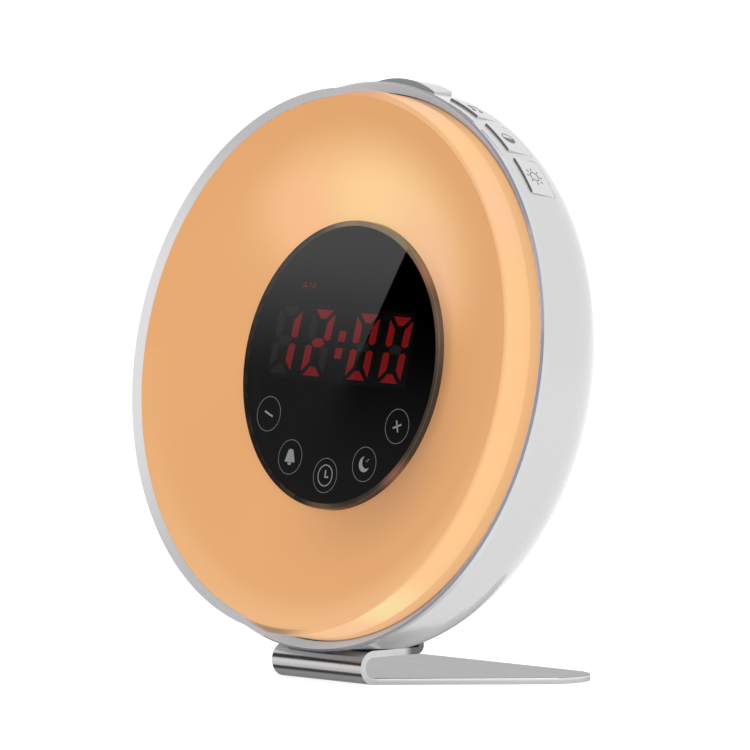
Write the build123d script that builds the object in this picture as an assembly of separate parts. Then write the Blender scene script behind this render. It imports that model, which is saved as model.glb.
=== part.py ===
from build123d import *
import math
import os

# Sunrise alarm clock: a round glowing diffuser round a black display, in a domed shell that leans back
# on a folded metal stand. Millimetres. +X is the clock's right as seen from the front, -Y its front, +Z
# up. The origin is the centre of the stand's plate, on its underside. The housing is drawn in its own
# face frame: x to the right, y up the face, z forward out of the face and 0 where the diffuser meets
# the shell's rim.

# ---- Attitude and stand --------------------------------------------------------------------------
lean_angle = 10.6            # how far the face leans back
rim_clearance = 9.45         # from the table to the rim's lowest point
sheet = 2.0                  # stand sheet thickness
bend_radius = 5.1            # outer radius of the front fold
strip_width = 40.0           # width of the fold and of the arm
bend_behind_face = -9.9      # y of the fold's axis, from the face centre
arm_length = 20.0            # from the fold's axis to the back of the lip
lip_height = 5.1             # from the arm's underside to the lip's top
lip_bend_radius = 2.5        # outer radius of the lip's bend
fan_angle = 39.5             # how far the plate's sides flare from straight back
fan_side = 51.47             # straight length of each flared side
fan_corner = 13.6            # radius of the plate's rear corners
stand_edge = 0.35            # softened edge of the sheet
pad_thickness = 0.5
pad_margin = 1.0             # how far the pad stays inside the arm's sides
stand_screw_offset = 12.0    # stand screws each side of the middle
stand_screw_back = 8.0       # stand screws behind the fold's axis
stand_block_width = 52.0     # solid block inside the shell over the arm
stand_block_height = 10.5    # from the shell's outside to its top
stand_block_back = -30.0     # its rear end, in the face frame
lip_slot_gap = 0.4           # room round the lip in the shell

# ---- Shell ---------------------------------------------------------------------------------------
shell_radius = 85.0
shell_wall = 2.8
rim_front = 2.2              # how far forward the rim's outer edge stands
rim_flare = 0.5              # how far that edge stands out of the shell
rim_peak = 3.1               # how far forward the rim's ridge stands
rim_chamfer = 0.6            # the ridge lies this far inside the outer edge
dome_start = -10.7           # where the straight side ends and the dome begins
dome_depth = 36.5            # semi-axis of the dome, if it were whole
back_plane = -40.0           # flat back
back_edge_radius = 5.0
fit_gap = 0.2                # between parts that are pushed together
ledge_width = 2.3
ledge_depth = 2.0
rim_depth = 1.5              # rim left behind 0 in front of the stand's flat

# ---- Diffuser ------------------------------------------------------------------------------------
diffuser_wall = 2.0
crest_height = 15.0
crest_width = 2.2            # width of the clear ring at the crest
crest_drop = 1.85            # how far that ring slopes down inwards
crest_cap = 0.3
crest_tongue = 1.2           # tongue that holds the ring in the diffuser
crest_lip = 0.6              # wall of the diffuser outside that tongue
crest_fit = 0.05
foot_depth = 1.5             # how far the diffuser's foot reaches behind the rim
dish_floor = 3.7             # where the dish meets the display
dish_arc_radius = 92.0

# ---- Display -------------------------------------------------------------------------------------
window_radius = 43.3
window_face = 5.4
window_thickness = 3.5       # over its skirt
window_wall = 1.2            # thickness of its front
window_skirt = 1.5           # width of the skirt that rests on the seat
window_gap = 0.25
window_edge = 0.25
seat_width = 3.0             # ring of the diffuser that the window sits on
touch_board_thickness = 1.6
touch_inset = 10.0           # the circle of touch marks inside the window's edge
touch_angles = [-150, -120, -90, -60, -30]
touch_spring_radius = 4.0
touch_spring_wall = 0.6
cup_wall = 1.6
cup_floor_height = -7.5
cup_floor_thickness = 1.5
cup_pillar_radius = 2.0
digit_centre_x = -2.3
digit_centre_y = 5.9
digit_height = 20.0
digit_width = 9.9
digit_pitch = 14.75
colon_space = 5.3            # extra room for the colon between the middle digits
colon_width = 2.9
colon_height = 3.2
colon_offset = 2.6           # from the digits' middle to each dot's middle
segment_width = 2.7
segment_gap = 0.8            # between the middle segment and the upright ones
segment_cut = 1.2            # how far the strokes stop short of the digit's corners
digit_slant = 7.0            # degrees
segment_thickness = 0.2
module_width = 63.0
module_height = 25.0
module_face_gap = 0.3        # from the segments' backs to the window, with the segments in it

# ---- Lamp ----------------------------------------------------------------------------------------
frame_plate = 1.8            # ring plate of the light pan
pan_inset = 19.0             # the pan's side below the shell's outside
pan_wall = 2.0
pan_floor_back = -12.0
pan_floor_thickness = 1.8
lamp_board_inset = 4.0       # inside the pan's side
lamp_board_clearance = 0.2   # outside the window's radius
lamp_board_thickness = 1.4
led_rings = [(0.3, 20), (0.73, 28)]  # place across the board's width, and number of lights
led_size = 3.0
led_height = 1.6
film_thickness = 0.4
film_gap = 0.3

# ---- Electronics ---------------------------------------------------------------------------------
main_board_width = 84.0
main_board_height = 60.0
main_board_thickness = 1.6
main_board_drop = 4.0        # behind the pan's floor
standoff_radius = 3.2
standoff_inset = 5.0
ribbon_width = 20.0
ribbon_thickness = 0.4
ribbon_y = -2.0
connector_height = 3.0

# ---- Keys ----------------------------------------------------------------------------------------
key_angles = {"sound_key": 70.45, "dimmer_key": 58.25, "light_key": 46.5}
key_width = 14.4
key_front = -3.8
key_length = 9.8
key_lift = 0.65              # how far the key's front edge stands out of the shell
key_flush = -10.9            # where its top runs out into the shell
key_corner = 0.6
key_gap = 0.2
key_flange = 1.0             # behind the key
key_flange_side = 0.6        # at its sides
key_flange_inset = 4.0       # below the shell's outside
key_flange_thickness = 1.6
key_stem_radius = 2.0
key_travel = 0.6
stop_gap = 0.15              # left between a pressed stem and its switch
key_board_inset = 14.0       # outer face of the key board below the shell's outside
board_thickness = 1.6
key_board_margin = 2.75      # board left beyond the outer switches
side_board_width = 11.0
side_board_front = -3.4
switch_size = 6.0
switch_body = 3.4
switch_button = 0.8
switch_button_radius = 1.7
snooze_half_front = 15.3
snooze_half_rear = 12.6
snooze_front = -3.0
snooze_rear = -13.2
snooze_corner = 2.0
snooze_crown_radius = 38.0
snooze_lift = 2.25
snooze_flange_inset = 5.0
snooze_flange_thickness = 1.6
snooze_stem_radius = 2.5
snooze_travel = 1.0
snooze_angle = 90.0
snooze_board_inset = 14.0
snooze_board_length = 30.0
rib_thickness = 3.0
rib_slot_gap = 0.1

# ---- Rear: speaker, power, battery ---------------------------------------------------------------
speaker_y = 20.0
speaker_radius = 20.0
speaker_flange = 1.6
speaker_seat = 2.5           # flat width of the flange behind
speaker_depth = 15.0
magnet_radius = 11.0
magnet_height = 6.0
grille_hole_radius = 1.0
grille_pitch = 4.0
grille_radius = 12.0
jack_x = -38.5
jack_y = -1.0
jack_nozzle_radius = 3.6
jack_bore_radius = 2.8
jack_bore_depth = 9.5
jack_pin_radius = 1.0
jack_body = 10.0
jack_length = 11.0
battery_y = -22.0
door_width = 54.0
door_height = 27.0
door_thickness = 2.0
door_corner = 3.0
door_gap = 0.25
door_ledge = 1.8
cell_radius = 5.25
cell_length = 44.5
cell_nub_radius = 2.6
cell_nub = 1.0
cell_space = 0.5
tray_wall = 1.2
contact_plate = 0.4
contact_size = 8.0
contact_bump_radius = 1.6
door_travel = 20.0

# ---- Fasteners -----------------------------------------------------------------------------------
screw_shank = 1.5
screw_head = 2.75
screw_head_height = 2.0
screw_clear = 0.05           # running clearance round a shank
head_clear = 0.45
shell_post_inset = 12.0
shell_post_angles = [12, 168, -48, -132]
post_radius = 4.2
post_seat = -16.0            # where the shell screws' heads bear
boss_length = 5.0
diffuser_boss_inset = 7.7
diffuser_boss_angles = [28, -10, -52, -128, -170, 152]
diffuser_boss_radius = 3.1
diffuser_boss_height = 5.0
small_shank = 1.2
small_head = 2.1
small_head_height = 1.4
lead_radius = 0.6
lead_bend = 2.0
lead_spacing = 1.1           # from the middle of a pair to each lead
socket_height = 4.0
speaker_socket = (24, 8)
battery_socket = (30, -20)
jack_socket = (-36, 14)

# ---- Sizes worked out from those above -----------------------------------------------------------
lean = math.radians(lean_angle)
face_height = rim_clearance + shell_radius * math.cos(lean)
rim_inner = shell_radius - shell_wall
key_flange_top = shell_radius - key_flange_inset
key_board_distance = shell_radius - key_board_inset
key_switch_reach = key_board_distance + switch_body + switch_button
key_spread = max(abs(angle - key_angles["dimmer_key"]) for angle in key_angles.values())
key_switch_end = key_switch_reach * math.tan(math.radians(key_spread)) + switch_size / 2
key_board_length = 2 * (key_switch_end + key_board_margin)
snooze_flange_top = shell_radius - snooze_flange_inset
snooze_board_distance = shell_radius - snooze_board_inset
pan_radius = shell_radius - pan_inset
lamp_board_outer = pan_radius - lamp_board_inset
lamp_board_inner = window_radius + lamp_board_clearance
shell_post_circle = shell_radius - shell_post_inset
diffuser_boss_circle = shell_radius - diffuser_boss_inset
touch_circle = window_radius - touch_inset
grille_rings = int(grille_radius // grille_pitch)
diffuser_radius = rim_inner - fit_gap
frame_front = -foot_depth
frame_back = frame_front - frame_plate
inner_back = back_plane + shell_wall
window_back = window_face - window_thickness
window_under = window_face - window_wall
seat_back = window_back - diffuser_wall + 0.1
arm_under = 2 * bend_radius - sheet
arm_top = 2 * bend_radius
shell_flat = arm_top + pad_thickness
pan_floor = pan_floor_back + pan_floor_thickness
lamp_board_front = pan_floor + lamp_board_thickness
board_front = pan_floor_back - main_board_drop
board_back = board_front - main_board_thickness
module_face = window_under - module_face_gap
module_back = cup_floor_height + cup_floor_thickness
fan = math.radians(fan_angle)
fan_end_x = strip_width / 2 + fan_side * math.sin(fan)
corner_x = fan_end_x - fan_corner * math.cos(fan)
plate_depth = fan_side * math.cos(fan) + fan_corner * math.sin(fan) + fan_corner
fold_y = -plate_depth / 2
face_y = fold_y - bend_behind_face

FACE = Plane(
    origin=(0, face_y, face_height),
    x_dir=(1, 0, 0),
    z_dir=(0, -math.cos(lean), math.sin(lean)),
)
CENTRED = (Align.CENTER, Align.CENTER, Align.MIN)

nodes = {}


def add(name, shape, in_face_frame=True):
    """Keep a finished piece under its name, moved to the part's frame if it was drawn in the face frame."""
    nodes[name] = FACE.location * shape if in_face_frame else shape


def group(shapes):
    """Several separate solids as one piece."""
    return Compound(children=list(shapes))


def ring(points):
    """Solid of revolution about the face's axis from a closed outline of (radius, z) points."""
    return revolve(make_face(Plane.XZ * Polyline(*points, close=True)), Axis.Z)


def disc(radius, low, high, x=0.0, y=0.0):
    """Cylinder along the face's axis between two heights."""
    return Pos(x, y, low) * Cylinder(radius, high - low, align=CENTRED)


def tube(outer, inner, low, high, x=0.0, y=0.0):
    return disc(outer, low, high, x, y) - disc(inner, low, high, x, y)


def slab(width, height, low, high, x=0.0, y=0.0):
    """Box centred on x and y between two heights."""
    return Pos(x, y, low) * Box(width, height, high - low, align=CENTRED)


def round_slab(width, height, corner, low, high, x=0.0, y=0.0):
    return Pos(x, y, low) * extrude(RectangleRounded(width, height, corner), high - low)


def radial(angle, distance):
    """Frame at a distance from the face's axis: x backwards along it, y round the shell, z outwards."""
    a = math.radians(angle)
    outward = (math.cos(a), math.sin(a), 0)
    origin = (distance * outward[0], distance * outward[1], 0)
    return Plane(origin=origin, x_dir=(0, 0, -1), z_dir=outward).location


def on_circle(radius, angles):
    return [(radius * math.cos(math.radians(a)), radius * math.sin(math.radians(a))) for a in angles]


def screw(shank, length, head, head_height):
    """Pan-head screw along +Z: shank from 0 up to its length, head below 0, with a cross recess."""
    body = Cylinder(shank, length, align=CENTRED)
    body += Pos(0, 0, -head_height) * Cylinder(head, head_height, align=CENTRED)
    rim = body.edges().filter_by(GeomType.CIRCLE).sort_by(Axis.Z)[0]
    body = fillet(rim, head_height * 0.35)
    slot = Box(head * 1.1, head * 0.28, head_height * 0.5, align=CENTRED)
    return body - Pos(0, 0, -head_height) * (slot + Rot(0, 0, 90) * slot)


def dome_solid(radius, depth, start, back, front, edge_radius):
    """Filled dome from its front plane to its flat back, with the back's edge rounded."""
    turn = math.degrees(math.asin((start - back) / depth))
    foot = (radius * math.cos(math.radians(turn)), back)
    arc = EllipticalCenterArc((0, start), radius, depth, start_angle=0, arc_size=-turn)
    sides = Polyline((radius, start), (radius, front), (0, front), (0, back), foot)
    body = revolve(make_face(Plane.XZ * (Curve() + [arc, sides])), Axis.Z)
    rim = body.edges().filter_by(GeomType.CIRCLE).sort_by(Axis.Z)[0]
    return fillet(rim, edge_radius)


# ---- Stand ---------------------------------------------------------------------------------------
def make_stand():
    """One strip: fan-shaped plate on the table, round front fold, arm under the shell, upturned lip."""
    tip = Vector(corner_x, plate_depth - fan_corner)
    side_end = Vector(fan_end_x, fan_side * math.cos(fan))
    rear = Vector(corner_x, plate_depth)
    outline = Curve() + [
        Line((0, 0), (strip_width / 2, 0)),
        Line((strip_width / 2, 0), side_end),
        RadiusArc(side_end, rear, -fan_corner),
        Line(rear, (0, plate_depth)),
        Line((0, plate_depth), (0, 0)),
    ]
    half = extrude(make_face(outline), sheet)
    outer_edges = []
    for edge in half.edges():
        middle = edge @ 0.5
        if abs(middle.Z - sheet / 2) > sheet / 4 and middle.Y > 1 and middle.X > 1e-3:
            outer_edges.append(edge)
    half = fillet(outer_edges, stand_edge)
    plate = half + mirror(half, Plane.YZ)
    fold_axis = (0, bend_radius)
    lip_back = arm_length
    lip_centre = (lip_back - lip_bend_radius, arm_under + lip_bend_radius)
    path = Curve() + [
        CenterArc(fold_axis, bend_radius, 90, 180),
        Line((0, 0), (1, 0)),
        Line((1, 0), (1, sheet)),
        Line((1, sheet), (0, sheet)),
        CenterArc(fold_axis, bend_radius - sheet, 90, 180),
        Line((0, arm_under), (lip_centre[0], arm_under)),
        CenterArc(lip_centre, lip_bend_radius, 270, 90),
        Line((lip_back, lip_centre[1]), (lip_back, arm_under + lip_height)),
        Line((lip_back, arm_under + lip_height), (lip_back - sheet, arm_under + lip_height)),
        Line((lip_back - sheet, arm_under + lip_height), (lip_back - sheet, lip_centre[1])),
        CenterArc(lip_centre, lip_bend_radius - sheet, 270, 90),
        Line((lip_centre[0], arm_top), (0, arm_top)),
    ]
    side_view = make_face(Plane.YZ * path)
    strip = extrude(side_view, strip_width / 2, both=True)
    stand = Pos(0, fold_y, 0) * (plate + strip)
    for x in (-stand_screw_offset, stand_screw_offset):
        hole = Cylinder(screw_shank + screw_clear, 3 * sheet)
        stand -= Pos(x, fold_y + stand_screw_back, arm_top - sheet / 2) * hole
    return stand


def make_stand_pad():
    """Thin black pad between the arm and the shell's flat, with holes for the stand screws."""
    length = arm_length - sheet - lip_bend_radius + pad_margin
    width = strip_width - 2 * pad_margin
    pad = Box(width, length, pad_thickness, align=(Align.CENTER, Align.MIN, Align.MIN))
    pad = Pos(0, fold_y - pad_margin, arm_top) * pad
    for x in (-stand_screw_offset, stand_screw_offset):
        hole = Cylinder(screw_shank + fit_gap, 3 * pad_thickness)
        pad -= Pos(x, fold_y + stand_screw_back, arm_top) * hole
    return pad


# ---- Housing -------------------------------------------------------------------------------------
def make_rear_shell():
    """Domed bowl with its rim, frame ledge, posts, stand block, and all its openings."""
    outer = dome_solid(shell_radius, dome_depth, dome_start, back_plane, 0, back_edge_radius)
    cavity_edge = back_edge_radius - shell_wall / 2
    cavity = dome_solid(rim_inner, dome_depth - shell_wall, dome_start, inner_back, 1, cavity_edge)
    rim_outer = shell_radius + rim_flare
    rim = ring(
        [
            (shell_radius, -rim_depth),
            (shell_radius, 0),
            (rim_outer, rim_front),
            (rim_outer - rim_chamfer, rim_peak),
            (rim_inner, 0),
            (rim_inner, -rim_depth),
        ]
    )
    shell = outer - cavity + rim
    inside = dome_solid(
        shell_radius - shell_wall / 2,
        dome_depth - shell_wall / 2,
        dome_start,
        back_plane + shell_wall / 2,
        0,
        back_edge_radius,
    )

    # ledge that the light pan rests on, left out where the keys pass
    ledge = ring(
        [
            (rim_inner + 1, frame_back),
            (rim_inner + 1, frame_back - ledge_depth),
            (rim_inner - ledge_width, frame_back - ledge_depth),
            (rim_inner - ledge_width, frame_back),
        ]
    )
    keys_side = Pos(0, 0, frame_back) * extrude(
        make_face(Polyline((0, 0), *on_circle(2 * shell_radius, [38, 70, 106]), close=True)), 8, both=True
    )
    shell += ledge - keys_side

    # solid block over the stand's arm
    block = Pos(0, -shell_radius, frame_back - ledge_depth) * Box(
        stand_block_width,
        stand_block_height,
        frame_back - ledge_depth - stand_block_back,
        align=(Align.CENTER, Align.MIN, Align.MAX),
    )
    shell += block & inside

    # posts for the shell screws, and their sunk seats
    for x, y in on_circle(shell_post_circle, shell_post_angles):
        shell += disc(post_radius, back_plane, frame_back - boss_length, x, y) & inside
        shell -= disc(screw_head + head_clear, back_plane - 1, post_seat, x, y)
        shell -= disc(screw_shank + fit_gap, back_plane, 0, x, y)

    # battery opening: a shallow recess for the door and a smaller hole behind a ledge
    shell -= round_slab(
        door_width + 2 * door_gap,
        door_height + 2 * door_gap,
        door_corner,
        back_plane - 1,
        back_plane + door_thickness + door_gap,
        y=battery_y,
    )
    hole_width = door_width - 2 * door_ledge
    hole_height = door_height - 2 * door_ledge
    shell -= slab(hole_width, hole_height, back_plane, inner_back + 1, y=battery_y)

    # speaker grille and jack hole
    grille = [(0, 0)]
    for step in range(1, grille_rings + 1):
        grille += on_circle(step * grille_pitch, [360 * i / (6 * step) for i in range(6 * step)])
    for x, y in grille:
        shell -= disc(grille_hole_radius, back_plane - 1, inner_back + 1, x, y + speaker_y)
    shell -= disc(jack_nozzle_radius + fit_gap / 2, back_plane - 1, inner_back + 1, jack_x, jack_y)

    # key and snooze openings
    for angle in key_angles.values():
        shell -= radial(angle, key_flange_top - 0.5) * key_prism(key_gap, shell_radius - key_flange_top + 5)
    shell -= snooze_prism(key_gap, snooze_flange_top - 0.5, shell_radius + 5)

    # flat and lip slot for the stand, cut in the part's own frame
    arm_front = face_y - shell_radius * math.sin(lean) + rim_depth * math.cos(lean)
    flat = Pos(0, arm_front, shell_flat) * Box(
        2 * shell_radius, shell_radius, shell_radius, align=(Align.CENTER, Align.MIN, Align.MAX)
    )
    lip = Pos(0, fold_y + arm_length - sheet - lip_slot_gap, 0) * Box(
        strip_width + 2 * lip_slot_gap,
        sheet + 2 * lip_slot_gap,
        arm_under + lip_height + lip_slot_gap,
        align=(Align.CENTER, Align.MIN, Align.MIN),
    )
    to_face = FACE.location.inverse()
    shell -= to_face * flat
    shell -= to_face * lip
    for x in (-stand_screw_offset, stand_screw_offset):
        seat = Pos(x, fold_y + stand_screw_back, 0)
        shell -= to_face * (seat * Cylinder(screw_shank + fit_gap, face_height / 2, align=CENTRED))
        sunk = Pos(0, 0, shell_flat + 3) * Cylinder(screw_head + head_clear, 12, align=CENTRED)
        shell -= to_face * (seat * sunk)
    return shell


def crest_groove():
    """Outer wall, outer top and floor of the groove in the diffuser for the crest ring's tongue."""
    groove_outer = diffuser_radius - crest_lip
    groove_top = crest_height - crest_cap - crest_lip * crest_drop / crest_width
    return groove_outer, groove_top, crest_height - crest_drop - crest_tongue


def make_diffuser():
    """Frosted ring: foot inside the rim, outer wall up to the crest, dish down to the display's seat."""
    groove_outer, groove_top, groove_floor = crest_groove()
    dish_top = (diffuser_radius - crest_width - crest_fit, crest_height - crest_drop)
    dish_foot = (window_radius + window_gap + 0.4, dish_floor)
    seat_radius = window_radius + window_gap - seat_width
    under_top = (diffuser_radius - diffuser_wall - 0.2, groove_floor - diffuser_wall)
    under_foot = (dish_foot[0] + diffuser_wall / 2, dish_floor - diffuser_wall)
    outline = Curve() + [
        Polyline(
            (diffuser_radius, -foot_depth),
            (diffuser_radius, crest_height - crest_cap),
            (groove_outer, groove_top),
            (groove_outer, groove_floor),
            (dish_top[0], groove_floor),
            dish_top,
        ),
        RadiusArc(dish_top, dish_foot, dish_arc_radius),
        Polyline(
            dish_foot,
            (window_radius + window_gap, dish_floor),
            (window_radius + window_gap, window_back),
            (seat_radius, window_back),
            (seat_radius, seat_back),
            (dish_foot[0], seat_back),
            under_foot,
        ),
        RadiusArc(under_foot, under_top, -dish_arc_radius),
        Polyline(
            under_top,
            (diffuser_radius - diffuser_wall, under_top[1] - 1.5),
            (diffuser_radius - diffuser_wall, -foot_depth),
            (diffuser_radius, -foot_depth),
        ),
    ]
    body = revolve(make_face(Plane.XZ * outline), Axis.Z)
    for x, y in on_circle(diffuser_boss_circle, diffuser_boss_angles):
        body += disc(diffuser_boss_radius, -foot_depth, diffuser_boss_height, x, y)
        body -= disc(small_shank + screw_clear, -foot_depth, diffuser_boss_height - 1, x, y)
    return body


def make_crest_ring():
    """Clear ring on the diffuser's crest: thin cap, inward slope, and a tongue in the diffuser's groove."""
    groove_outer, groove_top, groove_floor = crest_groove()
    inner = diffuser_radius - crest_width
    tongue_outer = groove_outer - crest_fit
    slope = crest_drop / crest_width
    return ring(
        [
            (diffuser_radius, crest_height),
            (inner, crest_height - crest_drop),
            (inner, groove_floor + crest_fit),
            (tongue_outer, groove_floor + crest_fit),
            (tongue_outer, groove_top - crest_fit * slope),
            (diffuser_radius, crest_height - crest_cap),
        ]
    )


def make_light_pan():
    """Inner frame: ring plate on the shell's ledge, pan for the lamp, bosses, standoffs and board ribs."""
    outer = diffuser_radius - fit_gap / 2
    pan = ring(
        [
            (outer, frame_front),
            (outer, frame_back),
            (pan_radius, frame_back),
            (pan_radius, pan_floor_back),
            (0, pan_floor_back),
            (0, pan_floor),
            (pan_radius - pan_wall, pan_floor),
            (pan_radius - pan_wall, frame_front),
        ]
    )
    pan -= slab(ribbon_width + 4, 6, pan_floor_back - 1, pan_floor + 1, y=ribbon_y)
    for x, y in on_circle(shell_post_circle, shell_post_angles):
        pan += disc(post_radius - 0.2, frame_back - boss_length, frame_back, x, y)
        pan -= disc(screw_shank + screw_clear, frame_back - boss_length, frame_front - 0.4, x, y)
    for x, y in on_circle(diffuser_boss_circle, diffuser_boss_angles):
        pan -= disc(small_shank + fit_gap, frame_back, frame_front, x, y)
    for x, y in standoff_places():
        pan += disc(standoff_radius, board_front, pan_floor_back, x, y)
        pan -= disc(small_shank + screw_clear, board_front, pan_floor_back + 1, x, y)
    pressed_flange = snooze_flange_top - snooze_flange_thickness - snooze_travel - stop_gap
    pan -= snooze_prism(key_gap, pressed_flange, shell_radius)
    ends = [
        (key_angles["dimmer_key"], key_board_distance, key_board_length),
        (snooze_angle, snooze_board_distance, snooze_board_length),
    ]
    for angle, distance, length in ends:
        place = radial(angle, distance)
        board = place * side_board(length + 2 * rib_slot_gap, rib_slot_gap)
        for side in (-1, 1):
            rib = Pos(-frame_back, side * (length / 2 - rib_thickness / 2 + 1), -board_thickness / 2) * Box(
                side_board_width * 0.75,
                rib_thickness,
                board_thickness + 3,
                align=(Align.MIN, Align.CENTER, Align.CENTER),
            )
            pan += place * rib - board
    return pan


def standoff_places():
    x = main_board_width / 2 - standoff_inset
    y = main_board_height / 2 - standoff_inset
    return [(sx * x, sy * y) for sx in (-1, 1) for sy in (-1, 1)]


# ---- Display -------------------------------------------------------------------------------------
def make_window():
    """Smoked cap with a short skirt, its front edge softened."""
    body = disc(window_radius, window_back, window_face)
    body -= disc(window_radius - window_skirt, window_back, window_under)
    rim = body.edges().filter_by(GeomType.CIRCLE).sort_by(Axis.Z)[-1]
    return fillet(rim, window_edge)


def make_touch_board():
    """Round board behind the window, open for the digits, on the display cup's pillars."""
    radius = window_radius + window_gap - seat_width - fit_gap
    board = disc(radius, -touch_board_thickness, 0)
    return board - slab(
        module_width + 1, module_height + 1, -touch_board_thickness - 1, 1, digit_centre_x, digit_centre_y
    )


def make_touch_springs():
    """One short metal tube under each touch mark, from the touch board to the window."""
    inner = touch_spring_radius - touch_spring_wall
    return group(
        tube(touch_spring_radius, inner, 0, window_under, x, y)
        for x, y in on_circle(touch_circle, touch_angles)
    )


def make_display_cup():
    """Black cup that carries the digit module and the touch board, and keeps the lamp's light out."""
    outer = lamp_board_inner - 0.5
    inner = outer - cup_wall
    cup = tube(outer, inner, pan_floor, seat_back)
    cup += disc(inner + 0.1, cup_floor_height, module_back)
    cup -= slab(ribbon_width + 2, 4, cup_floor_height - 1, module_back + 1, y=ribbon_y)
    for x, y in on_circle(touch_circle + 2, [-165, -105, -75, -15]):
        cup += disc(cup_pillar_radius, module_back, -touch_board_thickness, x, y)
    return cup


def make_digit_module():
    """Black block of the four-digit display, standing on the cup's floor."""
    body = slab(module_width, module_height, module_back, module_face, digit_centre_x, digit_centre_y)
    return body - slab(ribbon_width + 2, 1.5, module_back - 1, module_back + 1, y=ribbon_y)


def digit_segments():
    """Outline of each of the seven segments of a digit centred on 0, before its slant."""
    w, h, t, g = digit_width / 2, digit_height / 2, segment_width, segment_gap
    c = segment_cut
    upper = [(w, h - c), (w, t / 2), (w - t / 2, g), (w - t, t / 2), (w - t, h - t - c)]
    top = [(-w + c, h), (w - c, h), (w - t - c, h - t), (-w + t + c, h - t)]
    middle = [
        (-w + t / 2 + g, 0),
        (-w + t + g, t / 2),
        (w - t - g, t / 2),
        (w - t / 2 - g, 0),
        (w - t - g, -t / 2),
        (-w + t + g, -t / 2),
    ]
    flip_x = lambda points: [(-x, y) for x, y in points]
    flip_y = lambda points: [(x, -y) for x, y in points]
    return {
        "a": top,
        "b": upper,
        "c": flip_y(upper),
        "d": flip_y(top),
        "e": flip_x(flip_y(upper)),
        "f": flip_x(upper),
        "g": middle,
    }


def place_segment(points, x):
    """Thin solid of one outline, slanted and set on the module's face."""
    slant = math.tan(math.radians(digit_slant))
    moved = [(px + slant * py + x + digit_centre_x, py + digit_centre_y) for px, py in points]
    return Pos(0, 0, module_face) * extrude(make_face(Polyline(*moved, close=True)), segment_thickness)


def make_segments():
    """Lit segments of 12:00, and the unlit rest."""
    half = digit_pitch / 2 + colon_space / 2
    centres = [-half - digit_pitch, -half, half, half + digit_pitch]
    lit_names = ["bc", "abged", "abcdef", "abcdef"]
    lit, unlit = [], []
    for centre, names in zip(centres, lit_names):
        for name, points in digit_segments().items():
            (lit if name in names else unlit).append(place_segment(points, centre))
    a, b = colon_width / 2, colon_height / 2
    for y in (-colon_offset, colon_offset):
        lit.append(place_segment([(-a, y - b), (a, y - b), (a, y + b), (-a, y + b)], 0))
    return group(lit), group(unlit)


# ---- Lamp ----------------------------------------------------------------------------------------
def led_places():
    for part, count in led_rings:
        for i in range(count):
            yield 360 * i / count, lamp_board_inner + part * (lamp_board_outer - lamp_board_inner)


def make_leds(grow, low, high):
    blocks = []
    for angle, radius in led_places():
        block = Pos(radius, 0, 0) * slab(led_size + grow, led_size + grow, low, high)
        blocks.append(Rot(0, 0, angle) * block)
    return blocks


# ---- Keys ----------------------------------------------------------------------------------------
def key_prism(gap, height):
    """Plan of a key, drawn in a radial frame and raised outwards."""
    outline = RectangleRounded(key_length + 2 * gap, key_width + 2 * gap, key_corner + gap)
    return Pos(-key_front + key_length / 2, 0, 0) * extrude(outline, height)


def make_key(angle):
    """Wedge key: its front edge stands out of the shell and its top runs out into the dome."""
    rear = key_front - key_length
    dome_at_rear = shell_radius * math.sqrt(1 - ((rear - dome_start) / dome_depth) ** 2)
    top = ring(
        [
            (0, key_front + 1),
            (shell_radius + key_lift, key_front + 1),
            (shell_radius + key_lift, key_front),
            (shell_radius, key_flush),
            (dome_at_rear, rear),
            (dome_at_rear - 0.2, rear - 1),
            (0, rear - 1),
        ]
    )
    place = radial(angle, key_flange_top - key_flange_thickness / 2)
    head = (place * key_prism(0, shell_radius - key_flange_top + 5)) & top
    flange = radial(angle, key_flange_top - key_flange_thickness) * (
        Pos(-key_front, 0, 0)
        * Box(
            key_length + key_flange,
            key_width + 2 * key_flange_side,
            key_flange_thickness,
            align=(Align.MIN, Align.CENTER, Align.MIN),
        )
    )
    tilt = math.radians(angle - key_angles["dimmer_key"])
    switch_top = key_switch_reach / math.cos(tilt) + key_stem_radius * abs(math.tan(tilt))
    stem_end = switch_top + key_travel + stop_gap
    stem = radial(angle, stem_end) * (
        Pos(-key_front + key_length / 2, 0, 0)
        * Cylinder(key_stem_radius, key_flange_top - key_flange_thickness / 2 - stem_end, align=CENTRED)
    )
    return head + flange + stem


def snooze_plan(gap):
    """Plan of the snooze bar in x and z: wider at the front, with round rear corners."""
    front, rear = snooze_front + gap, snooze_rear - gap
    a, b = snooze_half_front + gap, snooze_half_rear + gap
    return make_face(Polyline((-a, front), (-b, rear), (b, rear), (a, front), close=True))


def snooze_prism(gap, low, high):
    """The bar's plan raised up the face between two heights."""
    plan = snooze_plan(gap)
    rear_corners = plan.vertices().sort_by(Axis.Y)[:2]
    plan = fillet(rear_corners, snooze_corner + gap)
    return Pos(0, high, 0) * (Plane.XZ.location * extrude(plan, high - low))


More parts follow.
